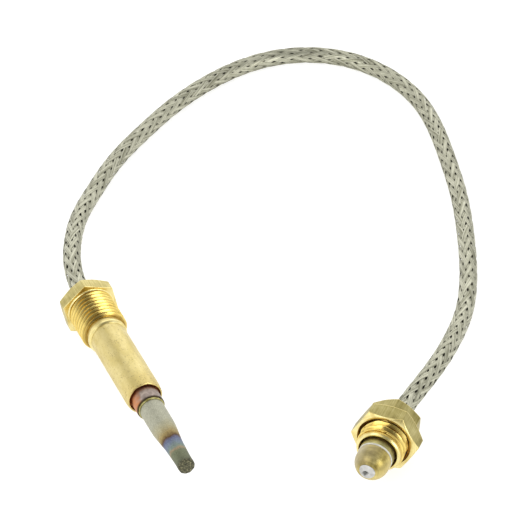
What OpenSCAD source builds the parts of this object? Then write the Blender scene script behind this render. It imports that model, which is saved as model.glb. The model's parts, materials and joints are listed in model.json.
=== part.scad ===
// Flame thermocouple: a threaded hot-end probe, a braided metal lead and a cold end with a hollow
// terminal nut. Millimetres, +Z up. The origin is on the probe's axis, in the shoulder face of the
// mounting bushing's hex. +X runs along the probe to its tip. The part lies on a flat surface below
// the probe: it rests on a corner of the bushing's hex, on a flat of the lock nut and on the lead.

/* [Bushing] */
// bushing hex across flats
bushing_hex = 10; // [9:0.5:14]
// bushing hex thickness
bushing_hex_t = 2.75; // [2:0.05:6]
// bushing hex turn about the probe, degrees
bushing_roll = -18; // [-30:1:30]
// mounting thread length
probe_thread_l = 7.8; // [5:0.1:12]
// thread crest diameter, both threads
thread_d = 8.9; // [8.5:0.1:9]
// relief groove diameter
groove_d = 7.2; // [7:0.1:7.4]
// relief groove width
groove_w = 1; // [0.6:0.1:2]
// plain collar diameter
collar_d = 7.5; // [7.5:0.1:8.4]
// plain collar length
collar_l = 0.8; // [0.6:0.1:3]

/* [Probe] */
// smooth sleeve outside diameter
sleeve_d = 6.9; // [6.6:0.1:7.4]
// sleeve mouth, distance from the shoulder face
sleeve_end = 29; // [26:0.5:36]
// copper ferrule outside diameter
ferrule_d = 5.3; // [5.1:0.1:5.5]
// copper ferrule front end, distance from the shoulder face
ferrule_end = 32; // [30.5:0.5:40]
// probe tube outside diameter
tube_d = 4.5; // [4.3:0.1:4.6]
// cone's front end, outside diameter
cone_d = 3.45; // [3.2:0.05:4]
// probe tube front end, outside diameter
tip_d = 3.05; // [3.05:0.05:3.2]
// start of the cone, distance from the shoulder face
cone_start = 38; // [34:0.5:40]
// end of the cone, distance from the shoulder face
cone_end = 43; // [41:0.5:45]
// probe tube front end, distance from the shoulder face
tube_end = 49.1; // [48.5:0.1:60]

/* [Lead] */
// braid outside diameter
braid_d = 3.6; // [3.2:0.1:3.7]
// braid wall
braid_wall = 0.45; // [0.3:0.05:0.5]
// copper core diameter
core_d = 1.2; // [0.8:0.1:1.2]

/* [Cold end] */
// lock nut across flats
lock_hex = 11; // [10.5:0.5:14]
// terminal nut head across flats
head_hex = 9; // [9:0.5:10]
// terminal nut head turn about its axis, degrees
head_roll = 25; // [0:1:60]
// thread end, distance in front of the lock nut's corner plane
thread_end = 3; // [2:0.25:8]
// ferrule neck and washer diameter
neck_d = 6.3; // [5.6:0.1:6.5]
// contact cap diameter
contact_d = 6.2; // [5.4:0.1:6.4]
// cold end heading, degrees from the probe's axis
end_yaw = -44; // [-60:1:0]

/* [Hidden] */
$fn = 72;
// surface that the part lies on
ground = -5.65;
thread_r = thread_d / 2;
// radius at which the lock nut's and terminal nut's threads engage
engage_r = thread_r - 0.25;
groove_x = probe_thread_l + groove_w;
collar_x = groove_x + collar_l;
// spigot of the sleeve in the bushing
spigot_r = 2.9;
spigot_x = 2;
// bore of the sleeve behind the probe tube
rear_bore_r = 2.2;
// probe tube wall and back end
tube_wall = 0.4;
tube_x = 17.2;
ring_r = tube_d / 2 + 0.2;
// end of the slight taper between the cone and the tip
taper_end = tube_end - 2.1;
// cold end, measured along its own axis from the lock nut's corner plane
end_pos = [55.8, 34.9, ground + lock_hex / 2];
lock_face = 0.5;
lock_back = -3.05;
head_front = -3.1;
head_back = -6.2;
nut_bore_r = 3.5;
nut_rear_r = 2.55;
nut_step = -0.4;
neck_end = 5;
washer_end = 5.4;
dome_s = 6.5;
cap_end = 9.2;
cup_s = 8.2;
cup_r = 1.3;
// lead stations, from inside the bushing to inside the end ferrule
lead_low = ground + braid_d / 2;
end_dir = [cos(end_yaw), sin(end_yaw), 0];
route_mid = [
    [-5, 0, 0],
    [-15, 1.5, -0.5],
    [-25, 5, -1.5],
    [-35, 10, -3],
    [-44, 16.5, lead_low],
    [-52.5, 24, lead_low],
    [-60, 32.5, lead_low],
    [-67, 41.5, lead_low],
    [-72.5, 50.5, lead_low],
    [-76.5, 60, lead_low],
    [-78, 69.5, lead_low],
    [-76, 78.5, lead_low],
    [-70, 86, lead_low],
    [-61, 90.5, lead_low],
    [-50, 92, lead_low],
    [-38, 90.5, lead_low],
    [-26, 87.5, lead_low],
    [-14, 84, lead_low],
    [-2, 79.5, lead_low],
    [9.5, 74.5, lead_low],
    [20.5, 68.5, lead_low],
    [31, 60.5, -2.5],
    [40.5, 51.5, -0.8],
    [47.5, 43.5, -0.15]
];

// places a piece drawn along +Z on the probe's axis
module on_probe()
    rotate([0, 90, 0])
        children();

// places a piece drawn along +Z on the cold end's axis
module on_end()
    translate(end_pos)
        rotate([0, 0, end_yaw])
            rotate([0, 90, 0])
                children();

// turned outline, radius and distance along the axis
module turned(outline)
    rotate_extrude()
        polygon(outline);

module tube_piece(r0, r1, z0, z1)
    turned([[r0, z0], [r1, z0], [r1, z1], [r0, z1]]);

// hexagonal bar with 30 degree chamfers where asked
module hex_bar(af, z0, z1, roll, back, front) {
    r = af / (2 * cos(30));
    c = 0.49 * af;
    e = r + 0.3;
    k = (e - c) * tan(30);
    intersection() {
        translate([0, 0, z0])
            rotate([0, 0, roll + 90])
                cylinder(h = z1 - z0, r = r, $fn = 6);
        turned([
            [0, z0],
            [back ? c : e, z0],
            [e, back ? z0 + k : z0 + 0.1],
            [e, front ? z1 - k : z1 - 0.1],
            [front ? c : e, z1],
            [0, z1]
        ]);
    }
}

// lead sweep: rings of eight corners, one corner straight down
function unit(v) = v / norm(v);
function stations(x0, s1) = concat(
    [[x0, 0, 0]],
    route_mid,
    [end_pos - 5.9 * end_dir, end_pos + s1 * end_dir]
);
function heading(p, i) = unit(
    i == 0 ? p[1] - p[0] :
    i == len(p) - 1 ? p[i] - p[i - 1] :
    unit(p[i] - p[i - 1]) + unit(p[i + 1] - p[i])
);
function ring(c, t, r) =
    let (side = unit(cross(t, [0, 0, 1])), up = cross(side, t))
    [for (k = [0:7]) c + r * cos(45 * k) * side + r * sin(45 * k) * up];
function rings(p, r) = [for (i = [0:len(p) - 1]) each ring(p[i], heading(p, i), r)];
function skin(n, o, turn) = [
    for (i = [0:n - 2])
        for (k = [0:7])
            let (a = o + 8 * i + k, b = o + 8 * i + (k + 1) % 8, c = b + 8, d = a + 8)
            each turn ? [[a, b, c], [a, c, d]] : [[c, b, a], [d, c, a]]
];
function collar(o, q, turn) = [
    for (k = [0:7])
        let (a = o + k, b = o + (k + 1) % 8, c = q + (k + 1) % 8, d = q + k)
        each turn ? [[a, b, c], [a, c, d]] : [[c, b, a], [d, c, a]]
];

// hollow swept tube
module swept_tube(p, r1, r0) {
    n = len(p);
    m = 8 * n;
    polyhedron(
        points = concat(rings(p, r1), rings(p, r0)),
        faces = concat(
            skin(n, 0, true),
            skin(n, m, false),
            collar(0, m, false),
            collar(m - 8, 2 * m - 8, true)
        )
    );
}

// solid swept rod
module swept_rod(p, r) {
    n = len(p);
    polyhedron(
        points = rings(p, r),
        faces = concat(
            skin(n, 0, true),
            [[for (k = [0:7]) 7 - k]],
            [[for (k = [0:7]) 8 * n - 8 + k]]
        )
    );
}

module mounting_bushing()
    color([0.80, 0.63, 0.25])
        on_probe()
            difference() {
                union() {
                    hex_bar(bushing_hex, -bushing_hex_t, 0, bushing_roll, true, false);
                    turned([
                        [0, -0.5],
                        [thread_r, -0.5],
                        [thread_r, probe_thread_l - 0.4],
                        [groove_d / 2, probe_thread_l],
                        [groove_d / 2, groove_x],
                        [collar_d / 2, groove_x],
                        [collar_d / 2, collar_x - 0.3],
                        [collar_d / 2 - 0.3, collar_x],
                        [0, collar_x]
                    ]);
                }
                turned([
                    [0, -bushing_hex_t - 1],
                    [braid_d / 2 + 0.05, -bushing_hex_t - 1],
                    [braid_d / 2 + 0.05, spigot_x],
                    [spigot_r, spigot_x],
                    [spigot_r, collar_x + 1],
                    [0, collar_x + 1]
                ]);
            }

module probe_sleeve()
    color([0.86, 0.75, 0.42])
        on_probe()
            turned([
                [rear_bore_r, spigot_x],
                [spigot_r, spigot_x],
                [spigot_r, collar_x],
                [sleeve_d / 2, collar_x],
                [sleeve_d / 2, sleeve_end - 1.5],
                [sleeve_d / 2 - 0.15, sleeve_end - 0.2],
                [sleeve_d / 2 - 0.35, sleeve_end],
                [sleeve_d / 2 - 0.45, sleeve_end],
                [ferrule_d / 2, sleeve_end - 1],
                [ferrule_d / 2, tube_x - 0.2],
                [rear_bore_r, tube_x - 0.2]
            ]);

module braze_fillet()
    color([0.66, 0.36, 0.12])
        on_probe()
            turned([
                [ferrule_d / 2, sleeve_end - 1],
                [sleeve_d / 2 - 0.52, sleeve_end - 0.175],
                [ferrule_d / 2, sleeve_end - 0.1]
            ]);

module copper_ferrule()
    color([0.62, 0.50, 0.45])
        on_probe()
            turned([
                [ring_r, tube_x],
                [ferrule_d / 2, tube_x],
                [ferrule_d / 2, ferrule_end - 0.1],
                [ferrule_d / 2 - 0.08, ferrule_end],
                [ring_r, ferrule_end]
            ]);

module inner_ring()
    color([0.72, 0.66, 0.42])
        on_probe()
            tube_piece(tube_d / 2, ring_r, tube_x + 3, ferrule_end + 0.4);

module hot_tube()
    color([0.62, 0.62, 0.56])
        on_probe()
            turned([
                [tube_d / 2 - tube_wall, tube_x],
                [tube_d / 2, tube_x],
                [tube_d / 2, cone_start],
                [cone_d / 2, cone_end],
                [tip_d / 2, taper_end],
                [tip_d / 2, tube_end],
                [tip_d / 2 - tube_wall, tube_end],
                [tip_d / 2 - tube_wall, taper_end - 0.3],
                [cone_d / 2 - tube_wall, cone_end - 0.3],
                [tube_d / 2 - tube_wall, cone_start - 0.3]
            ]);

module weld_tip()
    color([0.32, 0.32, 0.27])
        on_probe()
            turned([
                [0, tube_end],
                [tip_d / 2, tube_end],
                [tip_d / 2, tube_end + 0.4],
                [tip_d / 2 - 0.35, tube_end + 0.78],
                [0, tube_end + 0.85]
            ]);

module thermo_wire()
    color([0.70, 0.66, 0.60])
        on_probe()
            translate([0, 0, 10.2])
                cylinder(h = tube_end - 10.2, r = 0.55);

module wire_insulator()
    color([0.90, 0.88, 0.82])
        on_probe()
            tube_piece(0.6, 1.1, 13.6, tube_end - 2.5);

module core_splice()
    color([0.74, 0.58, 0.30])
        on_probe()
            tube_piece(0.62, 0.95, 8.2, 12);

module splice_insulator()
    color([0.88, 0.84, 0.74])
        on_probe()
            tube_piece(1, rear_bore_r, 8.1, 13.5);

module braid_crimp()
    color([0.66, 0.66, 0.64])
        on_probe()
            tube_piece(braid_d / 2 + 0.03, rear_bore_r, spigot_x, 6.5);

module braid_jacket()
    color([0.66, 0.65, 0.58])
        swept_tube(stations(6.5, 0.6), braid_d / 2, braid_d / 2 - braid_wall);

module core_insulation()
    color([0.86, 0.84, 0.76])
        swept_tube(stations(8, 4.9), braid_d / 2 - braid_wall - 0.1, core_d / 2 + 0.05);

module lead_core()
    color([0.72, 0.45, 0.28])
        swept_rod(stations(10, cup_s), core_d / 2);

module terminal_nut()
    color([0.80, 0.63, 0.25])
        on_end()
            difference() {
                union() {
                    hex_bar(head_hex, head_back, head_front, head_roll, true, false);
                    turned([
                        [0, head_front - 0.5],
                        [engage_r, head_front - 0.5],
                        [engage_r, lock_face + 0.1],
                        [thread_r, lock_face + 0.1],
                        [thread_r, thread_end],
                        [nut_bore_r + 0.2, thread_end + 0.7],
                        [0, thread_end + 0.7]
                    ]);
                }
                turned([
                    [0, head_back - 1],
                    [nut_rear_r, head_back - 1],
                    [nut_rear_r, nut_step],
                    [nut_bore_r, nut_step],
                    [nut_bore_r, thread_end + 1],
                    [0, thread_end + 1]
                ]);
            }

module lock_nut()
    color([0.80, 0.66, 0.30])
        on_end()
            difference() {
                hex_bar(lock_hex, lock_back, lock_face, 0, true, true);
                turned([
                    [0, lock_back - 1],
                    [engage_r + 1.95, lock_back - 1],
                    [engage_r + 0.05, lock_back + 0.9],
                    [engage_r + 0.05, lock_face - 0.9],
                    [engage_r + 1.95, lock_face + 1],
                    [0, lock_face + 1]
                ]);
            }

module end_ferrule()
    color([0.66, 0.62, 0.36])
        on_end()
            turned([
                [braid_d / 2 + 0.03, -4.4],
                [2.3, -4.4],
                [2.3, -0.2],
                [neck_d / 2, -0.2],
                [neck_d / 2, neck_end],
                [braid_d / 2 - braid_wall - 0.05, neck_end],
                [braid_d / 2 - braid_wall - 0.05, 0.6],
                [braid_d / 2 + 0.03, 0.6]
            ]);

module insulating_washer()
    color([0.93, 0.92, 0.88])
        on_end()
            tube_piece(core_d / 2 + 0.02, neck_d / 2, neck_end, washer_end);

module contact_cap()
    color([0.72, 0.62, 0.36])
        on_end()
            difference() {
                intersection() {
                    translate([0, 0, washer_end])
                        cylinder(h = cap_end - washer_end, r = contact_d / 2);
                    union() {
                        translate([0, 0, dome_s])
                            sphere(r = contact_d / 2);
                        translate([0, 0, washer_end - 1])
                            cylinder(h = dome_s - washer_end + 1, r = contact_d / 2);
                    }
                }
                translate([0, 0, washer_end - 1])
                    cylinder(h = cup_s - washer_end + 1.5, r = core_d / 2 + 0.02);
                translate([0, 0, cup_s])
                    cylinder(h = cap_end - cup_s + 1, r = cup_r);
            }

module solder_spot()
    color([0.80, 0.80, 0.79])
        on_end()
            turned([
                [0, cup_s],
                [cup_r, cup_s],
                [cup_r, cap_end],
                [cup_r * 0.7, cap_end + 0.18],
                [cup_r * 0.3, cap_end + 0.12],
                [0, cap_end]
            ]);

mounting_bushing();
probe_sleeve();
braze_fillet();
copper_ferrule();
inner_ring();
hot_tube();
weld_tip();
thermo_wire();
wire_insulator();
core_splice();
splice_insulator();
braid_crimp();
braid_jacket();
core_insulation();
lead_core();
terminal_nut();
lock_nut();
end_ferrule();
insulating_washer();
contact_cap();
solder_spot();
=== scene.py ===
import json
import math

import bmesh
import bpy
import numpy as np
from mathutils import Matrix, Vector

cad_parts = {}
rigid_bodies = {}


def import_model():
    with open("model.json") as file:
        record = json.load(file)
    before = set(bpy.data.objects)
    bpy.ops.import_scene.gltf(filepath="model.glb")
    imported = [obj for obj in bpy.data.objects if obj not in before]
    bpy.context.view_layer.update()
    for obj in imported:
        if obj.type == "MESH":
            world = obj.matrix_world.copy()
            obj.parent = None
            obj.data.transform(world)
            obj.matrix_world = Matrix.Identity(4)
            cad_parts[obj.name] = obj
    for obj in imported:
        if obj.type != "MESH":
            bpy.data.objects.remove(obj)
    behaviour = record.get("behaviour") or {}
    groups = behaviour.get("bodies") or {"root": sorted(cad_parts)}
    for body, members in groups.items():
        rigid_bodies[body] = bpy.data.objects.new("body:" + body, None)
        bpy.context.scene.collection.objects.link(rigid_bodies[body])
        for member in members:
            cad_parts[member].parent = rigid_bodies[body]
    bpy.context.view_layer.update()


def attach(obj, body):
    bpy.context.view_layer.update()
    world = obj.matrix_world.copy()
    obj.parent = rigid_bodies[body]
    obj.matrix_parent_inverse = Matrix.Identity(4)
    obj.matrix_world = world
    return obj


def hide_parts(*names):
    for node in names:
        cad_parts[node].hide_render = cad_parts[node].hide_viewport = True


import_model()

MM = 0.001
BODY = "probe_and_lead"

GROUND = -5.65
AROUND = 96  # steps round a turned piece
THREAD_R = 4.45
ROOT_R = 3.9
PITCH = 1.0  # too fine: the photo's turns come out about 1.23 apart at this scale
HEX_AF, HEX_T, HEX_ROLL = 10.0, 2.75, -18.0
THREAD_END, GROOVE_X, COLLAR_X = 7.8, 8.8, 9.6
GROOVE_R, COLLAR_R, SPIGOT_R = 3.6, 3.75, 2.92
SLEEVE_R, SLEEVE_END = 3.45, 29.0
FERRULE_R, FERRULE_END = 2.65, 32.0
TUBE_R, TIP_R = 2.25, 1.525
CONE_START, CONE_END, TAPER_END, TUBE_END = 38.0, 43.0, 47.0, 49.1
BRAID_R = 1.8
SLEEVING_R = (1.25, 0.65)  # outer and inner, of the insulation in the braid
END_POS = np.array([55.8, 34.9, -0.15])
END_YAW = math.radians(-44.0)
END_DIR = np.array([math.cos(END_YAW), math.sin(END_YAW), 0.0])
END_SIDE = np.array([-math.sin(END_YAW), math.cos(END_YAW), 0.0])
# Cold end, along END_DIR from END_POS.
NUT_PITCH = 1.25  # a compromise between readings, not measured
NUT_START, NUT_END = -3.2, 2.85
HEAD_AF, HEAD_BACK, HEAD_FRONT, HEAD_ROLL = 9.0, -6.2, -3.1, 25.0
LOCK_AF, LOCK_BACK, LOCK_FRONT = 11.0, -3.05, 0.5
LEAD_BORE, MOUTH_BORE = 2.55, 3.5
NECK_R, CUP_R, CORE_BORE = 3.15, 1.3, 0.62
WASHER_X, CAP_X, DOME_X, DOME_R = 5.0, 5.4, 6.5, 3.1
DIMPLE = (-0.24, -0.52)  # of the solder, across the axis
LEAD_LOW = GROUND + BRAID_R
ROUTE = [
    (6.5, 0, 0), (-5, 0, 0), (-15, 1.5, -0.5), (-25, 5, -1.5), (-35, 10, -3),
    (-44, 16.5, LEAD_LOW), (-52.5, 24, LEAD_LOW), (-60, 32.5, LEAD_LOW),
    (-67, 41.5, LEAD_LOW), (-72.5, 50.5, LEAD_LOW), (-76.5, 60, LEAD_LOW),
    (-78, 69.5, LEAD_LOW), (-76, 78.5, LEAD_LOW), (-70, 86, LEAD_LOW),
    (-61, 90.5, LEAD_LOW), (-50, 92, LEAD_LOW), (-38, 90.5, LEAD_LOW),
    (-26, 87.5, LEAD_LOW), (-14, 84, LEAD_LOW), (-2, 79.5, LEAD_LOW),
    (9.5, 74.5, LEAD_LOW), (20.5, 68.5, LEAD_LOW), (31, 60.5, -2.5),
    (40.5, 51.5, -0.8), (47.5, 43.5, -0.15),
    tuple(END_POS - 5.9 * END_DIR), tuple(END_POS + 0.6 * END_DIR),
]


# ---------------------------------------------------------------- camera
def make_camera():
    data = bpy.data.cameras.new("camera")
    data.sensor_width = 36
    data.lens = 174.5
    data.clip_start = 0.01
    data.clip_end = 20
    cam = bpy.data.objects.new("camera", data)
    bpy.context.scene.collection.objects.link(cam)
    right = Vector((0.3845, 0.9231, 0.0065))
    up = Vector((-0.5367, 0.2178, 0.8152))
    back = right.cross(up).normalized()
    up = back.cross(right).normalized()
    right.normalize()
    spin = Matrix((right, up, back)).transposed().to_4x4()
    cam.matrix_world = Matrix.Translation((0.36796, -0.12031, 0.28513)) @ spin
    bpy.context.scene.camera = cam


# ---------------------------------------------------------------- meshes
def to_object(name, points, faces, marks, materials, body, sharp=32.0, weld=True):
    """Makes the object: points in millimetres, one material index for each face."""
    mesh = bpy.data.meshes.new(name)
    mesh.from_pydata([tuple(p) for p in np.asarray(points) * MM], [], faces)
    for material in materials:
        mesh.materials.append(material)
    mesh.polygons.foreach_set("material_index", marks)
    if weld:
        bm = bmesh.new()
        bm.from_mesh(mesh)
        bmesh.ops.remove_doubles(bm, verts=bm.verts, dist=2e-6)
        bmesh.ops.dissolve_degenerate(bm, edges=bm.edges, dist=1e-7)
        bmesh.ops.recalc_face_normals(bm, faces=bm.faces)
        bm.to_mesh(mesh)
        bm.free()
    mesh.shade_smooth()
    mesh.set_sharp_from_angle(angle=math.radians(sharp))
    obj = bpy.data.objects.new(name, mesh)
    bpy.context.scene.collection.objects.link(obj)
    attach(obj, body)
    return obj


def on_probe(s, r, a):
    return (s, r * math.cos(a), r * math.sin(a))


def on_end(s, r, a):
    c = END_POS + s * END_DIR + r * math.cos(a) * END_SIDE
    return (c[0], c[1], c[2] + r * math.sin(a))


class Shell:
    """Collects rings of points and the faces between them."""

    def __init__(self, place):
        self.place = place
        self.points = []
        self.faces = []
        self.marks = []

    def rows(self, rows, marks):
        """Joins rows of (s, r, angle) in a closed loop; marks holds one index for each gap."""
        n = len(rows[0])
        base = len(self.points)
        for row in rows:
            self.points += [self.place(s, r, a) for s, r, a in row]
        for i in range(len(rows)):
            a, b = base + i * n, base + (i + 1) % len(rows) * n
            for k in range(n - 1):
                self.faces.append((a + k, a + k + 1, b + k + 1, b + k))
                self.marks.append(marks[i])


def circle_angles(n=AROUND):
    return [2 * math.pi * k / n for k in range(n + 1)]


def hex_angles(roll):
    steps = [0, 0.35, 0.7, 1.05, 1.6, 3, 5, 8, 12, 16, 20, 25, 30]
    half = steps + [60 - x for x in reversed(steps[:-1])][:-1]
    degrees = [roll + 60 * k + x for k in range(6) for x in half]
    return [math.radians(x) for x in degrees + [degrees[0] + 360]]


def hex_radius(a, af, roll, rounding=0.22):
    """Distance from the axis to the side of a hexagon with rounded corners."""
    from_corner = (math.degrees(a) - roll + 30) % 60 - 30
    e = math.radians(abs(from_corner))
    d = (af / 2 - rounding) / math.cos(math.radians(30))
    limit = math.atan2(rounding * 0.5, d + rounding * math.cos(math.radians(30)))
    if e < limit:
        return d * math.cos(e) + math.sqrt(rounding**2 - (d * math.sin(e)) ** 2)
    return af / 2 / math.cos(math.radians(30) - e)


def hex_rows(af, s0, s1, roll, back, front, inner_back, inner_front):
    """Rings of a hexagonal bar, from its front inner edge over the outside to the back one."""
    angles = hex_angles(roll)
    tan, cos, sin = math.tan(math.radians(30)), math.cos(math.radians(30)), 0.5

    def end_rows(s, way, chamfer, inner):
        start = 0.49 * af
        out = [[(x, r, a) for a in angles] for x, r in inner]
        near, lip, edge, side, low, hold = [], [], [], [], [], []
        for a in angles:
            r = hex_radius(a, af, roll)
            if chamfer:
                d = min(0.07, 0.4 * (r - start))
                drop = (r - start) * tan
                near.append((s, start - d - 0.05, a))
                lip.append((s, start - d, a))
                edge.append((s - way * d * sin, start + d * cos, a))
                side.append((s - way * (drop - d * sin), r - d * cos, a))
                low.append((s - way * (drop + d), r, a))
                hold.append((s - way * (drop + d + 0.05), r, a))
            else:
                near.append((s, r - 0.3, a))
                lip.append((s, r - 0.11, a))
                edge.append((s, r - 0.06, a))
                side.append((s - way * 0.02, r - 0.02, a))
                low.append((s - way * 0.06, r, a))
                hold.append((s - way * 0.11, r, a))
        return out + [near, lip, edge, side, low, hold]

    head = end_rows(s1, 1, front, inner_front)
    tail = end_rows(s0, -1, back, inner_back)
    return head, tail[::-1]


def soften(outline, radius=0.06, steps=3):
    """Rounds the corners of an outline of (s, r, mark), with a support point on each side."""
    out = []
    n = len(outline)
    for i, (s, r, mark) in enumerate(outline):
        last = outline[i - 1][2]
        p, a, b = (np.array(outline[j % n][:2], float) for j in (i, i - 1, i + 1))
        la, lb = np.linalg.norm(a - p), np.linalg.norm(b - p)
        ua, ub = (a - p) / la, (b - p) / lb
        turn = math.pi - math.acos(max(-1, min(1, float(ua @ ub))))
        reach = min(radius * math.tan(turn / 2), 0.42 * la, 0.42 * lb)
        if turn < 0.2 or reach < 0.004:
            out.append((s, r, mark))
            continue
        hold = reach + 0.05
        if hold < 0.45 * la:
            q = p + ua * hold
            out.append((float(q[0]), float(q[1]), last))
        for k in range(steps + 1):
            t = k / steps
            q = (1 - t) ** 2 * (p + ua * reach) + 2 * t * (1 - t) * p + t**2 * (p + ub * reach)
            out.append((float(q[0]), float(q[1]), mark if t > 0.5 else last))
        if hold < 0.45 * lb:
            q = p + ub * hold
            out.append((float(q[0]), float(q[1]), mark))
    return out


def lathe(name, place, outline, materials, body, radius=0.06, n=AROUND, shape=None, sharp=32.0):
    """Turned piece: closed outline of (s, r, mark); shape may move a point (s, r, a)."""
    soft = soften(outline, radius) if radius else list(outline)
    shell = Shell(place)
    rows = []
    for s, r, mark in soft:
        row = [(s, max(r, 0.0), a) for a in circle_angles(n)]
        rows.append([shape(*p) for p in row] if shape else row)
    shell.rows(rows, [mark for s, r, mark in soft])
    return to_object(name, shell.points, shell.faces, shell.marks, materials, body, sharp)


THREAD_FORM = [
    (0.0, 0), (0.10, 0), (0.20, 0.28), (0.30, 0.56), (0.40, 0.84), (0.46, 1),
    (0.54, 1), (0.60, 0.84), (0.70, 0.56), (0.80, 0.28), (0.90, 0),
]


def thread_rows(s0, s1, limit, n=AROUND, wear=0.0, pitch=PITCH):
    """Rows of a right-handed thread between s0 and s1; limit(s) is the largest radius there."""
    rows = []
    for turn in range(-2, int((s1 - s0) / pitch) + 2):
        for u, h in THREAD_FORM:
            row = []
            for k, a in enumerate(circle_angles(n)):
                s = s0 + (turn + u + k / n) * pitch
                r = ROOT_R
                if s0 + 0.01 < s < s1 - 0.01:
                    r += (THREAD_R - ROOT_R) * h
                    r -= wear * h * (0.5 + 0.5 * math.sin(3.1 * s + 5 * math.sin(2 * a)))
                    r = min(r, limit(s))
                else:
                    s = s0 if s < s1 - 0.01 else s1
                row.append((s, r, a))
            rows.append(row)
    return rows


# ---------------------------------------------------------------- material nodes
def add(tree, kind, props=None, **inputs):
    node = tree.nodes.new(kind)
    for key, value in (props or {}).items():
        setattr(node, key, value)
    for key, value in inputs.items():
        index = int(key[1:]) if key[0] == "_" else key.replace("_", " ")
        socket = node.inputs[index]
        if isinstance(value, bpy.types.NodeSocket):
            tree.links.new(value, socket)
        else:
            socket.default_value = value
    return node


def calc(tree, operation, a, b=0.0):
    return add(tree, "ShaderNodeMath", {"operation": operation}, _0=a, _1=b).outputs[0]


def rgba(colour):
    return tuple(colour) + (1.0,) if len(colour) == 3 else tuple(colour)


def blend_colour(tree, factor, a, b, mode="MIX"):
    props = {"data_type": "RGBA", "blend_type": mode}
    a, b = (c if isinstance(c, bpy.types.NodeSocket) else rgba(c) for c in (a, b))
    return add(tree, "ShaderNodeMix", props, _0=factor, _6=a, _7=b).outputs[2]


def ramp(tree, factor, stops, ease="LINEAR"):
    node = add(tree, "ShaderNodeValToRGB", Fac=factor)
    node.color_ramp.interpolation = ease
    items = node.color_ramp.elements
    while len(items) < len(stops):
        items.new(0.5)
    for item, (place, colour) in zip(items, stops):
        item.position = place
        item.color = rgba(colour) if hasattr(colour, "__len__") else (colour,) * 3 + (1.0,)
    return node.outputs["Color"]


def noise(tree, vector, scale, detail=3.0, rough=0.5):
    node = add(
        tree, "ShaderNodeTexNoise", Vector=vector, Scale=scale, Detail=detail, Roughness=rough,
    )
    return node.outputs["Fac"]


def stretched(tree, vector, s, y, z):
    props = {"operation": "MULTIPLY"}
    return add(tree, "ShaderNodeVectorMath", props, _0=vector, _1=(s, y, z)).outputs[0]


class Finish:
    """A Principled material with the axis frame of its end of the part, in millimetres."""

    def __init__(self, name, end=False, metallic=1.0):
        self.material = bpy.data.materials.new(name)
        self.material.use_nodes = True
        self.tree = self.material.node_tree
        self.shader = self.tree.nodes["Principled BSDF"]
        self.shader.inputs["Metallic"].default_value = metallic
        self.shader.inputs["IOR"].default_value = 1.5
        t = self.tree
        at = add(t, "ShaderNodeTexCoord").outputs["Object"]
        props = {"operation": "SCALE"}
        at = add(t, "ShaderNodeVectorMath", props, _0=at, Scale=1000.0).outputs[0]
        if end:
            props = {"operation": "SUBTRACT"}
            at = add(t, "ShaderNodeVectorMath", props, _0=at, _1=tuple(END_POS)).outputs[0]
            props = {"rotation_type": "Z_AXIS"}
            at = add(t, "ShaderNodeVectorRotate", props, Vector=at, Angle=-END_YAW).outputs[0]
        self.at = at
        parts = add(t, "ShaderNodeSeparateXYZ", Vector=at)
        self.s, self.y, self.z = parts.outputs
        squares = calc(t, "ADD", calc(t, "MULTIPLY", self.y, self.y),
                       calc(t, "MULTIPLY", self.z, self.z))
        self.r = calc(t, "SQRT", squares)

    def span(self, value, low, high):
        """0 at low and 1 at high, held at the ends; low may be the larger."""
        node = add(self.tree, "ShaderNodeMapRange", {"clamp": True}, Value=value)
        node.inputs["From Min"].default_value = low
        node.inputs["From Max"].default_value = high
        return node.outputs["Result"]

    def colour(self, socket):
        self.tree.links.new(socket, self.shader.inputs["Base Color"])

    def rough(self, value):
        if isinstance(value, bpy.types.NodeSocket):
            self.tree.links.new(value, self.shader.inputs["Roughness"])
        else:
            self.shader.inputs["Roughness"].default_value = value

    def bump(self, height, depth_mm, strength=1.0):
        node = add(self.tree, "ShaderNodeBump", Height=height, Strength=strength)
        node.inputs["Distance"].default_value = depth_mm * MM
        self.tree.links.new(node.outputs[0], self.shader.inputs["Normal"])


def plain_finish(name, low, high, roughness, metallic, scale=0.8, depth=0.01):
    """Two-tone noise, for the pieces that other pieces hide."""
    f = Finish(name, metallic=metallic)
    cloud = noise(f.tree, f.at, scale, 4)
    f.colour(ramp(f.tree, cloud, [(0.3, low), (0.7, high)]))
    f.rough(roughness)
    f.bump(noise(f.tree, f.at, scale * 8, 3), depth)
    return f.material


def turned_brass(name, end=False, dark=1.0, root=0.8):
    """Bright turned brass with tool rings across the axis.

    root is the strength of the painted shade, a brown, in a thread's roots; 0 is for plain
    faces, which are paler.
    """
    f = Finish(name, end=end)
    t = f.tree
    green, blue = (dark * 0.93, dark * 0.72) if root else (dark * 1.04, dark * 1.2)
    rings = noise(t, stretched(t, f.at, 9, 0.25, 0.25), 1.0, 4, 0.7)
    cloud = noise(t, f.at, 0.45, 3)
    tone = calc(t, "ADD", calc(t, "MULTIPLY", rings, 0.55), calc(t, "MULTIPLY", cloud, 0.6))
    base = ramp(t, tone, [
        (0.36, (0.60 * dark, 0.44 * green, 0.12 * blue)),
        (0.58, (0.85 * dark, 0.695 * green, 0.26 * blue)),
        (0.76, (0.93 * dark, 0.81 * green, 0.38 * blue)),
    ])
    if root:
        # painted shade: brown blended in towards a thread's roots, where shade falls in the
        # valleys
        depth = f.span(f.r, ROOT_R + 0.46, ROOT_R + 0.06)
        base = blend_colour(t, calc(t, "MULTIPLY", depth, root), base, (0.26, 0.145, 0.02))
    f.colour(base)
    f.rough(calc(t, "ADD", calc(t, "MULTIPLY", rings, 0.16), 0.16 if root else 0.24))
    f.bump(rings, 0.012, 0.7)
    return f.material


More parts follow.
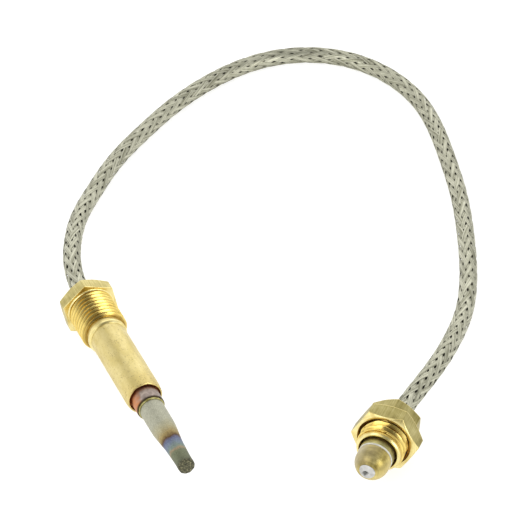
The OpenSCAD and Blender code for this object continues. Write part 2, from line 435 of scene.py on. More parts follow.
def drawn_brass(name, end=False, dark=1.0):
    """Hexagon flats: olive brass with draw lines along the bar; dark scales its tone."""
    f = Finish(name, end=end)
    t = f.tree
    blue = 0.9 * dark if end else dark
    lines = noise(t, stretched(t, f.at, 0.22, 5, 5), 1.0, 5, 0.65)
    cloud = noise(t, f.at, 0.35, 3)
    tone = calc(t, "ADD", calc(t, "MULTIPLY", lines, 0.6), calc(t, "MULTIPLY", cloud, 0.5))
    f.colour(ramp(t, tone, [
        (0.38, (0.33 * dark, 0.275 * dark, 0.095 * blue)),
        (0.55, (0.56 * dark, 0.475 * dark, 0.19 * blue)),
        (0.72, (0.78 * dark, 0.69 * dark, 0.35 * blue)),
    ]))
    f.rough(calc(t, "ADD", calc(t, "MULTIPLY", lines, 0.2), 0.34))
    f.bump(lines, 0.02, 0.9)
    return f.material


def sleeve_brass():
    """Pale, smooth brass with fine dark pits."""
    f = Finish("sleeve_brass")
    t = f.tree
    cloud = noise(t, stretched(t, f.at, 0.35, 1, 1), 0.8, 4)
    base = ramp(t, cloud, [(0.3, (0.64, 0.525, 0.20)), (0.7, (0.79, 0.675, 0.325))])
    warm = f.span(f.s, SLEEVE_END - 5, SLEEVE_END)
    base = blend_colour(t, calc(t, "MULTIPLY", warm, 0.3), base, (0.62, 0.46, 0.15))
    patch = noise(t, f.at, 0.55, 2)
    fine = noise(t, f.at, 4.5, 2)
    level = calc(t, "ADD", fine, calc(t, "MULTIPLY", patch, 0.22))
    level = calc(t, "ADD", level, calc(t, "MULTIPLY", warm, 0.03))
    pit = f.span(level, 0.755, 0.80)
    mottle = f.span(noise(t, f.at, 2.0, 5, 0.7), 0.35, 0.65)
    base = blend_colour(t, calc(t, "MULTIPLY", mottle, 0.22), base, (0.56, 0.45, 0.16))
    f.colour(blend_colour(t, calc(t, "MULTIPLY", pit, 0.7), base, (0.20, 0.12, 0.04)))
    f.rough(calc(t, "ADD", calc(t, "MULTIPLY", mottle, 0.1), 0.38))
    f.bump(calc(t, "SUBTRACT", calc(t, "MULTIPLY", mottle, 0.25), pit), 0.03, 0.8)
    return f.material


def braze(name="braze"):
    """Lumpy orange-brown braze."""
    f = Finish(name, metallic=0.7)
    t = f.tree
    lumps = noise(t, f.at, 1.6, 4, 0.7)
    f.colour(ramp(t, lumps, [
        (0.36, (0.02, 0.008, 0.004)),
        (0.48, (0.24, 0.065, 0.012)),
        (0.60, (0.55, 0.20, 0.05)),
        (0.75, (0.85, 0.52, 0.20)),
    ]))
    f.rough(0.42)
    f.bump(lumps, 0.08, 0.9)
    return f.material


def painted_reflection_shade_brass(name, metallic=1.0):
    """Darker, orange-brown brass of the lock nut's countersink and the hollow nut's mouth:
    painted shade with a painted warm reflection of the nearby brass.
    """
    f = Finish(name, end=True, metallic=metallic)
    t = f.tree
    cloud = noise(t, f.at, 1.4, 4, 0.6)
    # painted shade and a painted warm reflection: dark to orange-brown in place of lit brass
    f.colour(ramp(t, cloud, [
        (0.32, (0.14, 0.065, 0.012)),
        (0.55, (0.46, 0.27, 0.06)),
        (0.72, (0.78, 0.56, 0.20)),
    ]))
    f.rough(0.34)
    f.bump(noise(t, stretched(t, f.at, 8, 0.5, 0.5), 1.0, 3), 0.02, 0.6)
    return f.material


def copper():
    """Copper greyed by heat, warmer on its far side, with painted shade along its end, where it
    steps down to the ring.
    """
    f = Finish("copper")
    t = f.tree
    cloud = noise(t, f.at, 1.1, 4, 0.6)
    base = ramp(t, cloud, [
        (0.3, (0.20, 0.165, 0.14)),
        (0.55, (0.35, 0.285, 0.25)),
        (0.75, (0.56, 0.47, 0.40)),
    ])
    side = f.span(calc(t, "ADD", f.y, calc(t, "MULTIPLY", cloud, 1.5)), -0.6, -1.7)
    base = blend_colour(t, calc(t, "MULTIPLY", side, 0.75), base, (0.66, 0.24, 0.07))
    burn = f.span(calc(t, "ADD", f.s, calc(t, "MULTIPLY", cloud, 0.8)), 30.3, 29.5)
    base = blend_colour(t, calc(t, "MULTIPLY", burn, 0.65), base, (0.34, 0.11, 0.03))
    # painted shade: a near-black band on the ferrule's end, standing for the shadow where it
    # steps down to the ring
    painted_end_shade = f.span(f.s, FERRULE_END - 0.45, FERRULE_END - 0.15)
    base = blend_colour(t, calc(t, "MULTIPLY", painted_end_shade, 0.9), base, (0.045, 0.03, 0.012))
    f.colour(base)
    f.rough(calc(t, "ADD", calc(t, "MULTIPLY", cloud, 0.3), 0.32))
    f.bump(noise(t, f.at, 6, 3), 0.02, 0.6)
    return f.material


def probe_steel():
    """Grey probe tube with the heat tint of a used flame tip."""
    f = Finish("probe_steel")
    t = f.tree
    wave = noise(t, stretched(t, f.at, 0.5, 0.8, 0.8), 1.0, 4, 0.6)
    place = calc(t, "ADD", f.s, calc(t, "MULTIPLY", calc(t, "SUBTRACT", wave, 0.5), 2.0))
    tint = ramp(t, f.span(place, 32.0, 50.0), [
        (0.000, (0.58, 0.575, 0.455)),
        (0.340, (0.56, 0.555, 0.43)),
        (0.440, (0.56, 0.52, 0.34)),
        (0.530, (0.48, 0.37, 0.16)),
        (0.580, (0.17, 0.10, 0.05)),
        (0.612, (0.20, 0.22, 0.34)),
        (0.670, (0.26, 0.31, 0.39)),
        (0.735, (0.29, 0.36, 0.31)),
        (0.765, (0.46, 0.36, 0.23)),
        (0.792, (0.25, 0.27, 0.17)),
        (0.900, (0.22, 0.235, 0.15)),
        (1.000, (0.13, 0.13, 0.09)),
    ])
    grain = noise(t, f.at, 4, 4, 0.7)
    shade = ramp(t, grain, [(0.3, 0.55), (0.7, 1.0)])
    f.colour(blend_colour(t, 1.0, tint, shade, "MULTIPLY"))
    f.rough(calc(t, "ADD", calc(t, "MULTIPLY", grain, 0.2), 0.45))
    f.bump(grain, 0.03, 0.8)
    return f.material


def weld():
    """Rough, dark weld."""
    f = Finish("weld", metallic=0.6)
    t = f.tree
    grain = noise(t, f.at, 3.0, 5, 0.75)
    f.colour(ramp(t, grain, [
        (0.34, (0.02, 0.02, 0.013)),
        (0.50, (0.09, 0.088, 0.05)),
        (0.66, (0.32, 0.30, 0.17)),
    ]))
    f.rough(0.6)
    f.bump(grain, 0.09, 0.9)
    return f.material


def ring_brass():
    """Dull yellow brass of the thin ring."""
    f = Finish("ring_brass")
    t = f.tree
    cloud = noise(t, f.at, 2, 4)
    f.colour(ramp(t, cloud, [(0.3, (0.30, 0.26, 0.08)), (0.7, (0.58, 0.54, 0.24))]))
    f.rough(0.4)
    f.bump(cloud, 0.02, 0.5)
    return f.material


def ferrule_brass():
    """Dull greenish brass of the neck behind the washer, with an orange band of painted
    reflection of the nut's rim.
    """
    f = Finish("ferrule_brass", end=True)
    t = f.tree
    rings = noise(t, stretched(t, f.at, 8, 0.3, 0.3), 1.0, 4, 0.7)
    cloud = noise(t, f.at, 0.6, 3)
    tone = calc(t, "ADD", calc(t, "MULTIPLY", rings, 0.5), calc(t, "MULTIPLY", cloud, 0.6))
    base = ramp(t, tone, [
        (0.36, (0.26, 0.23, 0.09)),
        (0.55, (0.46, 0.42, 0.18)),
        (0.74, (0.66, 0.62, 0.30)),
    ])
    # painted reflection: an orange band where the nut's rim is mirrored on the neck, next to the
    # rim
    place = calc(t, "ADD", f.s, calc(t, "MULTIPLY", cloud, 0.3))
    painted_rim_reflection = calc(t, "MULTIPLY", f.span(place, 4.1, 3.6), f.span(place, 2.3, 2.9))
    f.colour(blend_colour(t, calc(t, "MULTIPLY", painted_rim_reflection, 0.5), base, (0.66, 0.43, 0.12)))
    f.rough(0.42)
    f.bump(rings, 0.012, 0.6)
    return f.material


def contact_brass():
    """Satin dome: olive brown, greyer at its top and one side with a pale patch there, and a
    painted highlight of brighter gold low on its other side.
    """
    f = Finish("contact_brass", end=True)
    t = f.tree
    rings = noise(t, stretched(t, f.at, 5, 0.5, 0.5), 1.0, 4, 0.65)
    cloud = noise(t, f.at, 0.6, 4, 0.6)
    tone = calc(t, "ADD", calc(t, "MULTIPLY", rings, 0.4), calc(t, "MULTIPLY", cloud, 0.7))
    base = ramp(t, tone, [
        (0.38, (0.20, 0.15, 0.04)),
        (0.55, (0.42, 0.335, 0.10)),
        (0.70, (0.70, 0.585, 0.22)),
    ])
    side = calc(t, "SUBTRACT", f.z, calc(t, "MULTIPLY", f.y, 0.8))
    grey = f.span(calc(t, "ADD", side, calc(t, "MULTIPLY", cloud, 1.5)), 1.4, 3.6)
    base = blend_colour(t, calc(t, "MULTIPLY", grey, 0.5), base, (0.30, 0.26, 0.17))
    pale = f.span(calc(t, "SUBTRACT", calc(t, "MULTIPLY", f.z, 0.3), f.y), 1.7, 2.7)
    base = blend_colour(t, calc(t, "MULTIPLY", pale, 0.5), base, (0.62, 0.555, 0.38))
    # painted highlight: brighter gold on the dome's lower side towards +y
    lift = f.span(calc(t, "SUBTRACT", calc(t, "MULTIPLY", f.y, 0.8), f.z), 0.0, 2.4)
    base = blend_colour(t, calc(t, "MULTIPLY", lift, 0.6), base, (0.72, 0.60, 0.26))
    f.colour(base)
    f.rough(calc(t, "ADD", calc(t, "MULTIPLY", cloud, 0.25), 0.30))
    f.bump(rings, 0.015, 0.7)
    return f.material


def washer_white():
    """Matt white washer, a little soiled."""
    f = Finish("washer_white", end=True, metallic=0.0)
    t = f.tree
    cloud = noise(t, f.at, 1.5, 4)
    f.colour(ramp(t, cloud, [(0.3, (0.52, 0.51, 0.44)), (0.7, (0.76, 0.75, 0.69))]))
    f.rough(0.5)
    f.bump(noise(t, f.at, 9, 2), 0.01, 0.5)
    return f.material


def solder():
    """Silvery solder, with painted shade down in its dimple."""
    f = Finish("solder", end=True)
    t = f.tree
    cloud = noise(t, f.at, 1.2, 4)
    base = ramp(t, cloud, [(0.3, (0.42, 0.415, 0.395)), (0.7, (0.68, 0.675, 0.65))])
    # painted shade: near-black in the solder's dimple, where shade falls
    away = add(t, "ShaderNodeVectorMath", {"operation": "DISTANCE"}, _0=f.at,
               _1=(9.05, DIMPLE[0] - 0.16, DIMPLE[1])).outputs["Value"]
    pit = f.span(away, 0.62, 0.30)
    f.colour(blend_colour(t, calc(t, "MULTIPLY", pit, 0.8), base, (0.06, 0.06, 0.055)))
    f.rough(0.30)
    f.bump(noise(t, f.at, 3, 3), 0.04, 0.6)
    return f.material


def braid_metal():
    """Tinned wire, with painted shade down between the strands and along the ribbons' edges.

    The mesh's "tone" attribute holds a strand's tone in red and its height in green, which sets
    the painted shade.
    """
    f = Finish("braid_metal")
    t = f.tree
    tone = add(t, "ShaderNodeAttribute", {"attribute_name": "tone"})
    parts = add(t, "ShaderNodeSeparateColor", Color=tone.outputs["Color"])
    strand, height, _ = parts.outputs
    mottle = noise(t, f.at, 0.9, 4, 0.6)
    mixed = calc(t, "ADD", calc(t, "MULTIPLY", strand, 0.62), calc(t, "MULTIPLY", mottle, 0.38))
    base = ramp(t, mixed, [
        (0.24, (0.27, 0.265, 0.19)),
        (0.50, (0.49, 0.485, 0.375)),
        (0.78, (0.74, 0.73, 0.59)),
    ])
    # painted shade: near-black where a ribbon dips under, at ribbon edges and between wires
    low = f.span(height, 0.56, 0.22)
    f.colour(blend_colour(t, calc(t, "MULTIPLY", low, 0.85), base, (0.055, 0.052, 0.03)))
    f.rough(calc(t, "ADD", calc(t, "MULTIPLY", mottle, 0.15), 0.40))
    f.bump(noise(t, f.at, 11, 2), 0.008, 0.5)
    return f.material


# ---------------------------------------------------------------- lead
def smooth_path(points, step):
    """Natural cubic spline through the stations, resampled at even steps."""
    p = np.array(points, float)
    u = np.concatenate([[0], np.cumsum(np.linalg.norm(np.diff(p, axis=0), axis=1))])
    n = len(u)
    h = np.diff(u)
    m = np.zeros((n, n))
    b = np.zeros((n, 3))
    m[0, 0] = m[-1, -1] = 1
    for i in range(1, n - 1):
        m[i, i - 1:i + 2] = h[i - 1], 2 * (h[i - 1] + h[i]), h[i]
        b[i] = 6 * ((p[i + 1] - p[i]) / h[i] - (p[i] - p[i - 1]) / h[i - 1])
    curve = np.linalg.solve(m, b)

    def at(x):
        i = np.clip(np.searchsorted(u, x) - 1, 0, n - 2)
        a, c, g = (u[i + 1] - x)[:, None], (x - u[i])[:, None], h[i][:, None]
        q = (curve[i] * a**3 + curve[i + 1] * c**3) / (6 * g)
        q += (p[i] / g - curve[i] * g / 6) * a + (p[i + 1] / g - curve[i + 1] * g / 6) * c
        q[:, 2] = np.maximum(q[:, 2], LEAD_LOW)
        return q

    fine = at(np.linspace(0, u[-1], 6000))
    run = np.concatenate([[0], np.cumsum(np.linalg.norm(np.diff(fine, axis=0), axis=1))])
    count = int(run[-1] / step) + 1
    even = np.linspace(0, run[-1], count)
    return np.stack([np.interp(even, run, fine[:, k]) for k in range(3)], axis=1), even


def frames_along(path):
    """Two directions across the path, carried along it without twist."""
    t = np.gradient(path, axis=0)
    t /= np.linalg.norm(t, axis=1)[:, None]
    side = np.zeros_like(t)
    side[0] = np.cross(t[0], [0, 0, 1])
    side[0] /= np.linalg.norm(side[0])
    for i in range(1, len(t)):
        v = side[i - 1] - t[i] * (side[i - 1] @ t[i])
        side[i] = v / np.linalg.norm(v)
    return side, np.cross(t, side)


def wobble(x, seed, size):
    """Slow, smooth irregularity."""
    k = np.random.default_rng(seed).uniform(0, 6.28, 4)
    return size * (
        np.sin(x * 0.31 + k[0]) * 0.4 + np.sin(x * 0.73 + k[1]) * 0.3
        + np.sin(x * 1.61 + k[2]) * 0.2 + np.sin(x * 3.3 + k[3]) * 0.1
    )


LAY = 36.0  # length in which a ribbon goes once round, chosen
CARRIERS = 8  # ribbons each way
WIRES = 6  # wires in a ribbon
BRAID_STEP = 0.62  # between the rows of a ribbon
RIBBON_HALF = 0.296  # half the angle that a ribbon spans, in radians
SHADE = 0.42  # how far a wire's tone departs from its ribbon's


def make_braid():
    path, along = smooth_path(ROUTE, BRAID_STEP)
    side, up = frames_along(path)
    points, faces, tones = [], [], []
    band = np.linspace(-1, 1, 2 * WIRES + 1)
    crown = np.array([k % 2 for k in range(2 * WIRES + 1)])
    shades = np.random.default_rng(7).uniform(-SHADE, SHADE, (2 * CARRIERS, 2 * WIRES + 1))
    # The ribbons lie looser, with more gap between them, near the two fittings.
    loose = np.exp(-along / 45) + np.exp((along - along[-1]) / 60)
    # Radius of the weave, its rise and fall at a crossing, and the height of a wire.
    middle, swing, bump_h = 1.63, 0.055, 0.045
    size = len(band)
    for c in range(2 * CARRIERS):
        way = 1 if c < CARRIERS else -1
        theta = way * (2 * math.pi * along / LAY) + 2 * math.pi * (c % CARRIERS) / CARRIERS
        theta = theta + wobble(along, c, 0.06)
        wave = np.cos(4 * theta - math.pi / 4) * way
        lift = np.tanh(2.0 * wave) / math.tanh(2.0)
        radius = middle + swing * lift + wobble(along, 50 + c, 0.008)
        width = RIBBON_HALF * (1 + wobble(along, 90 + c, 0.14)) - 0.028 * loose
        tone = 0.5 + wobble(along, 130 + c, 0.14)
        base = len(points)
        for i in range(len(path)):
            for k in range(size):
                a = theta[i] + width[i] * band[k]
                r = radius[i] + bump_h * (crown[k] - 0.5) + 0.02 - 0.02 * band[k] ** 2
                r = min(r + 0.03, BRAID_R + 0.02)
                q = path[i] + r * (math.cos(a) * side[i] + math.sin(a) * up[i])
                points.append(q)
                # green of tone: a painted shade factor, lower on ribbons that dip under, at
                # ribbon edges and between wires
                h = 0.5 + 0.5 * lift[i]
                edge = 1 - 0.40 * (abs(band[k]) > 0.95)
                height = (0.86 + 0.14 * h) * edge * (0.40 + 0.60 * crown[k])
                tones.append((min(max(tone[i] + shades[c, k], 0), 1), height, 0.0, 1.0))
        for i in range(len(path) - 1):
            a, b = base + i * size, base + (i + 1) * size
            for k in range(size):
                faces.append((a + k, b + k, b + (k + 1) % size, a + (k + 1) % size))
        faces.append(tuple(base + k for k in range(size)))
        end = base + (len(path) - 1) * size
        faces.append(tuple(end + size - 1 - k for k in range(size)))
    obj = to_object(
        "braid", points, faces, [0] * len(faces), [braid_metal()], BODY, 70, weld=False,
    )
    layer = obj.data.color_attributes.new("tone", "FLOAT_COLOR", "POINT")
    layer.data.foreach_set("color", np.array(tones, dtype=np.float32).ravel())
    bm = bmesh.new()
    bm.from_mesh(obj.data)
    bmesh.ops.recalc_face_normals(bm, faces=bm.faces)
    bm.to_mesh(obj.data)
    bm.free()
    obj.data.shade_smooth()
    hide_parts("braid_jacket")
    return obj, path * MM, float(along[-1]) * MM


def make_core_sleeve():
    """Insulating sleeve inside the braid, from the splice to the washer."""
    route = [(8, 0, 0)] + ROUTE[1:-1] + [tuple(END_POS + 4.9 * END_DIR)]
    path, along = smooth_path(route, 1.2)
    side, up = frames_along(path)
    n = 20
    points, faces = [], []
    for r in SLEEVING_R:
        for i in range(len(path)):
            for k in range(n):
                a = 2 * math.pi * k / n
                points.append(path[i] + r * (math.cos(a) * side[i] + math.sin(a) * up[i]))
    m = len(path) * n
    for i in range(len(path) - 1):
        for k in range(n):
            a, b = i * n + k, i * n + (k + 1) % n
            faces.append((a, a + n, b + n, b))
            faces.append((m + b, m + b + n, m + a + n, m + a))
    for i in (0, len(path) - 1):
        for k in range(n):
            a, b = i * n + k, i * n + (k + 1) % n
            faces.append((a, b, m + b, m + a))
    # painted shade: the sleeving is coloured near-black so the gaps in the braid read as shadow
    material = plain_finish(
        "glass_sleeving_painted_shade", (0.03, 0.026, 0.018), (0.09, 0.08, 0.055), 0.8, 0.0, 3, 0.05,
    )
    obj = to_object("core_sleeve", points, faces, [0] * len(faces), [material], BODY, 60)
    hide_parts("core_insulation")
    return obj


# ---------------------------------------------------------------- hot end
def make_bushing():
    materials = [
        drawn_brass("bushing_flats"), turned_brass("bushing_face", root=0),
        turned_brass("bushing_thread"),
    ]
    shell = Shell(on_probe)
    bore = [(-HEX_T + 0.25, 1.85), (-HEX_T, 2.1)]
    fillet = [(0.2, 3.9), (0.2, 4.42), (0.09, 4.47), (0.03, 4.55), (0, 4.65), (0, 4.7)]
    head, tail = hex_rows(HEX_AF, -HEX_T, 0, HEX_ROLL, True, False, bore, fillet)
    rows = head + tail
    marks = [1] * (len(head) - 1) + [0] + [1] * len(tail)
    shell.rows(rows, marks)

    def limit(s):
        return THREAD_R - max(0.0, (s - THREAD_END + 0.4)) * 1.37

    thread = thread_rows(-0.2, THREAD_END, limit, wear=0.03)
    ring = soften([
        (THREAD_END, ROOT_R, 2), (THREAD_END + 0.05, GROOVE_R, 1), (GROOVE_X, GROOVE_R, 1),
        (GROOVE_X, COLLAR_R, 1), (COLLAR_X - 0.3, COLLAR_R, 1), (COLLAR_X, 3.46, 1),
        (COLLAR_X, SPIGOT_R, 1), (-0.2, SPIGOT_R, 1),
    ], 0.04)[1:]
    ring_rows = [[(s, r, a) for a in circle_angles()] for s, r, m in ring]
    shell.rows(thread + ring_rows, [2] * len(thread) + [m for s, r, m in ring])
    obj = to_object("bushing", shell.points, shell.faces, shell.marks, materials, BODY)
    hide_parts("mounting_bushing")


def make_sleeve():
    def dents(s, r, a):
        if s > SLEEVE_END - 0.3:
            near = (s - SLEEVE_END) / 0.3 + 1
            s += near * (0.09 * math.sin(5 * a + 0.4) * math.sin(3 * a + 1) - 0.05)
        elif r > 3.2:
            r -= 0.012 * (1 + math.sin(1.7 * s + 3 * a) * math.sin(2 * a + 0.6 * s))
        return (s, r, a)

    shell = [
        (2.0, 2.2, 0), (2.0, 2.9, 0), (COLLAR_X, 2.9, 0), (COLLAR_X, SLEEVE_R, 0),
    ]
    shell += [(COLLAR_X + 1.49 * k, SLEEVE_R, 0) for k in range(1, 12)]
    shell += [
        (SLEEVE_END - 1.5, SLEEVE_R, 0), (SLEEVE_END - 0.8, SLEEVE_R - 0.06, 0),
        (SLEEVE_END - 0.2, SLEEVE_R - 0.15, 0), (SLEEVE_END, SLEEVE_R - 0.35, 0),
        (SLEEVE_END, SLEEVE_R - 0.45, 1), (SLEEVE_END - 1, FERRULE_R, 0), (17.0, FERRULE_R, 0),
        (17.0, 2.2, 0),
    ]
    materials = [sleeve_brass(), braze("sleeve_mouth")]
    obj = lathe("sleeve", on_probe, shell, materials, BODY, 0.08, AROUND, dents)
    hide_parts("probe_sleeve")


def make_braze():
    def lumps(s, r, a):
        if s > SLEEVE_END - 0.9:
            s += 0.13 * math.sin(3 * a + 0.7) * math.sin(5 * a) - 0.06
            r += 0.03 * math.sin(7 * a + 1.3)
        return (s, r, a)

    outline = [
        (SLEEVE_END - 1, FERRULE_R, 0), (SLEEVE_END - 0.52, 2.80, 0),
        (SLEEVE_END - 0.50, 2.74, 0), (SLEEVE_END - 0.3, FERRULE_R - 0.03, 0),
    ]
    obj = lathe("braze_ring", on_probe, outline, [braze()], BODY, 0.08, AROUND, lumps)
    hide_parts("braze_fillet")


def make_ferrule():
    def rag(s, r, a):
        if s > FERRULE_END - 0.2:
            s += 0.05 * math.sin(4 * a) * math.sin(9 * a + 1)
        if r > 2.6:
            r -= 0.02 + 0.02 * math.sin(5 * a + 1.2 * s) * math.sin(2 * a - s)
        return (s, r, a)

    outline = [(17.2, 2.45, 0), (17.2, FERRULE_R, 0)]
    outline += [(29.2 + 0.4 * k, FERRULE_R, 0) for k in range(7)]
    outline += [(FERRULE_END, FERRULE_R - 0.06, 0), (FERRULE_END, 2.45, 0)]
    obj = lathe("ferrule", on_probe, outline, [copper()], BODY, 0.06, AROUND, rag)
    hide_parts("copper_ferrule")
    ring = [
        (20.2, TUBE_R, 0), (20.2, 2.45, 0), (FERRULE_END + 0.35, 2.45, 0),
        (FERRULE_END + 0.4, TUBE_R, 0),
    ]
    obj = lathe("tube_ring", on_probe, ring, [ring_brass()], BODY, 0.05)
    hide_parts("inner_ring")


def make_tube():
    def worn(s, r, a):
        if r > 1.4 and s > 20:
            r += 0.012 * math.sin(2.1 * s + 3 * a) * math.sin(3 * a + s) - 0.008
        return (s, r, a)

    outer = [(s, TUBE_R, 0) for s in (17.2, 33.0, 34.0, 35.0, 36.0, 37.0)]
    cone = [(CONE_START, 2.24), (CONE_START + 0.5, 2.205)]
    cone += [(CONE_START + k, 2.265 - 0.106 * k) for k in (1, 2, 3, 4)]
    cone += [(CONE_END, 1.735), (CONE_END + 1, 1.675), (CONE_END + 2, 1.625), (46.0, 1.575)]
    outer += [(s, r, 0) for s, r in cone]
    outer += [(s, TIP_R, 0) for s in (TAPER_END, 47.6, 48.3, TUBE_END)]
    inner = [
        (TUBE_END, 1.125, 0), (TAPER_END - 0.3, 1.125, 0), (CONE_END - 0.3, 1.325, 0),
        (CONE_START - 0.3, 1.85, 0), (17.2, 1.85, 0),
    ]
    obj = lathe(
        "probe_tube", on_probe, outer + inner, [probe_steel()], BODY, 0.0, AROUND, worn, 50,
    )
    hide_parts("hot_tube")


def make_weld():
    def crust(s, r, a):
        k = 0.5 + 0.5 * math.sin(3 * a + 9 * s) * math.sin(7 * a - 5 * s + 1)
        if s > TUBE_END + 0.02:
            k = k if r > 0.05 else 0.5
            s -= 0.05 * k
            r -= 0.07 * k * (r > 0.2)
        return (s, r, a)

    outline = [(TUBE_END, 0.0, 0), (TUBE_END, TIP_R, 0)]
    outline += [(TUBE_END + 0.15 * k, TIP_R, 0) for k in (1, 2, 3)]
    outline += [
        (TUBE_END + 0.62, TIP_R - 0.12, 0), (TUBE_END + 0.74, TIP_R - 0.36, 0),
        (TUBE_END + 0.78, 0.8, 0), (TUBE_END + 0.76, 0.4, 0), (TUBE_END + 0.79, 0.0, 0),
    ]
    obj = lathe("weld_bead", on_probe, outline, [weld()], BODY, 0.0, 72, crust, 60)
    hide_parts("weld_tip")


# ---------------------------------------------------------------- cold end
def make_terminal_nut():
    materials = [
        drawn_brass("nut_head_flats", True, 0.68), turned_brass("nut_head_face", True, root=0),
        turned_brass("nut_thread", True, 1.05, 0.6), painted_reflection_shade_brass("nut_mouth", 0.55),
    ]
    shell = Shell(on_end)
    bore = [(HEAD_BACK + 0.2, LEAD_BORE), (HEAD_BACK, LEAD_BORE + 0.2)]
    face = [(HEAD_FRONT, 3.7)]
    head, tail = hex_rows(
        HEAD_AF, HEAD_BACK, HEAD_FRONT, HEAD_ROLL, True, False, bore, face,
    )
    marks = [1] * (len(head) - 1) + [0] + [1] * len(tail)
    shell.rows(head + tail, marks)

    def limit(s):
        return THREAD_R

    thread = thread_rows(NUT_START, NUT_END, limit, wear=0.12, pitch=NUT_PITCH)
    ring = soften([
        (NUT_END, 3.95, 2), (2.98, 4.14, 2), (3.36, 4.08, 1), (3.68, 3.84, 1),
        (3.68, 3.60, 3), (3.58, MOUTH_BORE, 3), (2.6, MOUTH_BORE, 3), (-0.4, MOUTH_BORE, 1),
        (-0.4, LEAD_BORE, 1), (NUT_START, LEAD_BORE, 1),
    ], 0.04)[1:]
    ring_rows = [[(s, r, a) for a in circle_angles()] for s, r, m in ring]
    shell.rows(thread + ring_rows, [2] * len(thread) + [m for s, r, m in ring])
    obj = to_object(
        "hollow_nut", shell.points, shell.faces, shell.marks, materials, "terminal_nut",
    )
    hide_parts("terminal_nut")


def make_lock_nut():
    materials = [
        drawn_brass("lock_nut_flats", True, 0.64), turned_brass("lock_nut_face", True, root=0),
        painted_reflection_shade_brass("lock_nut_sink"),
    ]
    shell = Shell(on_end)
    front = [(0.02, 4.53), (0.42, 4.93), (0.47, 4.98)]
    back = [(-2.57, 4.53), (-2.97, 4.93), (-3.02, 4.98)]
    head, tail = hex_rows(LOCK_AF, LOCK_BACK, LOCK_FRONT, 0.0, True, True, back, front)
    marks = [2, 2, 1] + [1] * (len(head) - 4) + [0] + [1] * (len(tail) - 2) + [2, 2]
    shell.rows(head + tail, marks)
    obj = to_object(
        "ring_nut", shell.points, shell.faces, shell.marks, materials, "lock_nut",
    )
    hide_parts("lock_nut")


def make_contact():
    outline = [
        (-4.4, 1.84, 0), (-4.4, 2.3, 0), (-0.2, 2.3, 0), (-0.2, NECK_R, 0),
        (WASHER_X, NECK_R, 0), (WASHER_X, CUP_R, 0), (0.6, CUP_R, 0), (0.6, 1.84, 0),
    ]
    obj = lathe("neck_ferrule", on_end, outline, [ferrule_brass()], BODY, 0.05)
    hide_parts("end_ferrule")
    outline = [
        (WASHER_X, CORE_BORE, 0), (WASHER_X, NECK_R, 0), (CAP_X, NECK_R, 0),
        (CAP_X, CORE_BORE, 0),
    ]
    obj = lathe("white_washer", on_end, outline, [washer_white()], BODY, 0.05)
    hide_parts("insulating_washer")
    dome = [(CAP_X, CORE_BORE, 0), (CAP_X, DOME_R, 0), (DOME_X, DOME_R, 0)]
    for k in range(1, 15):
        a = math.radians(4.2 * k)
        s, r = DOME_X + DOME_R * math.sin(a), DOME_R * math.cos(a)
        if s < 9.12:
            dome.append((s, r, 0))
    dome += [(9.15, 1.55, 0), (9.2, CUP_R, 0), (8.2, CUP_R, 0), (8.2, CORE_BORE, 0)]
    obj = lathe("contact_dome", on_end, dome, [contact_brass()], BODY, 0.03, sharp=40)
    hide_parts("contact_cap")

    def puddle(s, r, a):
        if s > 8.9:
            r += 0.04 * math.sin(3 * a + 1) * (r > 0.9)
            away = math.hypot(r * math.cos(a) - DIMPLE[0], r * math.sin(a) - DIMPLE[1])
            s -= 0.45 * math.exp(-(away / 0.56) ** 2) * (r < 1.25)
        return (s, r, a)

    spot = [(8.2, 0.0, 0), (8.2, 1.28, 0), (9.17, 1.28, 0), (9.18, 1.34, 0)]
    for k in range(0, 13):
        x = 1 - k / 12
        bead = 0.17 * math.cos(x * 1.45) ** 0.7
        spot.append((9.20 + bead, 1.45 * x, 0))
    obj = lathe("solder_bead", on_end, spot, [solder()], BODY, 0.0, 72, puddle, 50)
    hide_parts("solder_spot")


def dress_hidden_nodes():
    """Finishes for the CAD pieces inside the probe and the lead."""
    looks = {
        "thermo_wire": plain_finish("wire", (0.46, 0.42, 0.36), (0.72, 0.68, 0.6), 0.32, 1.0),
        "wire_insulator": plain_finish(
            "tube_ceramic", (0.78, 0.75, 0.68), (0.92, 0.90, 0.85), 0.6, 0.0),
        "core_splice": plain_finish(
            "splice_brass", (0.55, 0.42, 0.16), (0.85, 0.72, 0.38), 0.3, 1.0),
        "splice_insulator": plain_finish(
            "splice_ceramic", (0.74, 0.70, 0.60), (0.90, 0.86, 0.78), 0.6, 0.0),
        "braid_crimp": plain_finish(
            "crimp_steel", (0.45, 0.45, 0.43), (0.72, 0.72, 0.70), 0.34, 1.0),
        "lead_core": plain_finish(
            "core_copper", (0.62, 0.30, 0.16), (0.86, 0.52, 0.34), 0.28, 1.0),
    }
    for name, material in looks.items():
        for obj in bpy.data.objects:
            if obj.type == "MESH" and obj.name == name:
                obj.data.materials.clear()
                obj.data.materials.append(material)


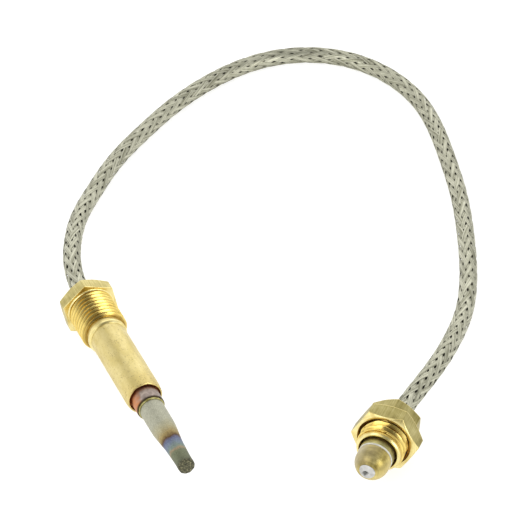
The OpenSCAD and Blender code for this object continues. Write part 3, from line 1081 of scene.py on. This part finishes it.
# ---------------------------------------------------------------- stage and light
def make_stage():
    mesh = bpy.data.meshes.new("floor")
    size = 1.5
    z = GROUND * MM
    mesh.from_pydata(
        [(-size, -size, z), (size, -size, z), (size, size, z), (-size, size, z)],
        [], [(0, 1, 2, 3)],
    )
    obj = bpy.data.objects.new("floor", mesh)
    bpy.context.scene.collection.objects.link(obj)
    f = Finish("floor_white", metallic=0.0)
    haze = noise(f.tree, f.at, 0.01, 2)
    f.colour(ramp(f.tree, haze, [(0.3, (0.42, 0.42, 0.42)), (0.7, (0.44, 0.44, 0.44))]))
    f.rough(1.0)
    f.shader.inputs["Specular IOR Level"].default_value = 0.0
    f.shader.inputs["Emission Color"].default_value = (1.0, 1.0, 1.0, 1.0)
    f.shader.inputs["Emission Strength"].default_value = 0.78
    mesh.materials.append(f.material)


def soft_light(name, place, target, size, power):
    data = bpy.data.lights.new(name, "AREA")
    data.shape = "RECTANGLE"
    data.size, data.size_y = size
    data.energy = power
    obj = bpy.data.objects.new(name, data)
    obj.location = place
    way = Vector(target) - Vector(place)
    obj.rotation_euler = way.to_track_quat("-Z", "Y").to_euler()
    bpy.context.scene.collection.objects.link(obj)


def make_light():
    world = bpy.data.worlds.new("studio")
    world.use_nodes = True
    bpy.context.scene.world = world
    t = world.node_tree
    way = add(t, "ShaderNodeTexCoord").outputs["Generated"]
    up = add(t, "ShaderNodeSeparateXYZ", Vector=way)
    sky = ramp(t, up.outputs[2], [(0.0, 1.3), (0.25, 1.15), (0.6, 0.68), (1.0, 0.62)])
    near = add(t, "ShaderNodeVectorMath", {"operation": "DOT_PRODUCT"}, _0=way,
               _1=(0.765, -0.25, 0.593)).outputs["Value"]
    dim = ramp(t, near, [(0.60, 1.0), (0.80, 0.55), (0.97, 0.25)], "EASE")
    sky = blend_colour(t, 1.0, sky, dim, "MULTIPLY")
    t.links.new(sky, t.nodes["Background"].inputs["Color"])
    t.nodes["Background"].inputs["Strength"].default_value = 1.0
    soft_light("key", (0.15, -0.45, 0.45), (0, 0.03, 0), (0.5, 0.5), 1.6)
    soft_light("low", (0.50, 0.27, 0.19), (0, 0.01, 0), (0.28, 0.28), 0.9)
    soft_light("back", (-0.55, 0.30, 0.55), (0, 0.02, 0), (0.9, 0.9), 1.6)
    bpy.context.scene.view_settings.view_transform = "Standard"


# ---------------------------------------------------------------- build
make_camera()
braid, braid_path, braid_length = make_braid()
make_core_sleeve()
make_bushing()
make_sleeve()
make_braze()
make_ferrule()
make_tube()
make_weld()
make_terminal_nut()
make_lock_nut()
make_contact()
dress_hidden_nodes()
make_stage()
make_light()
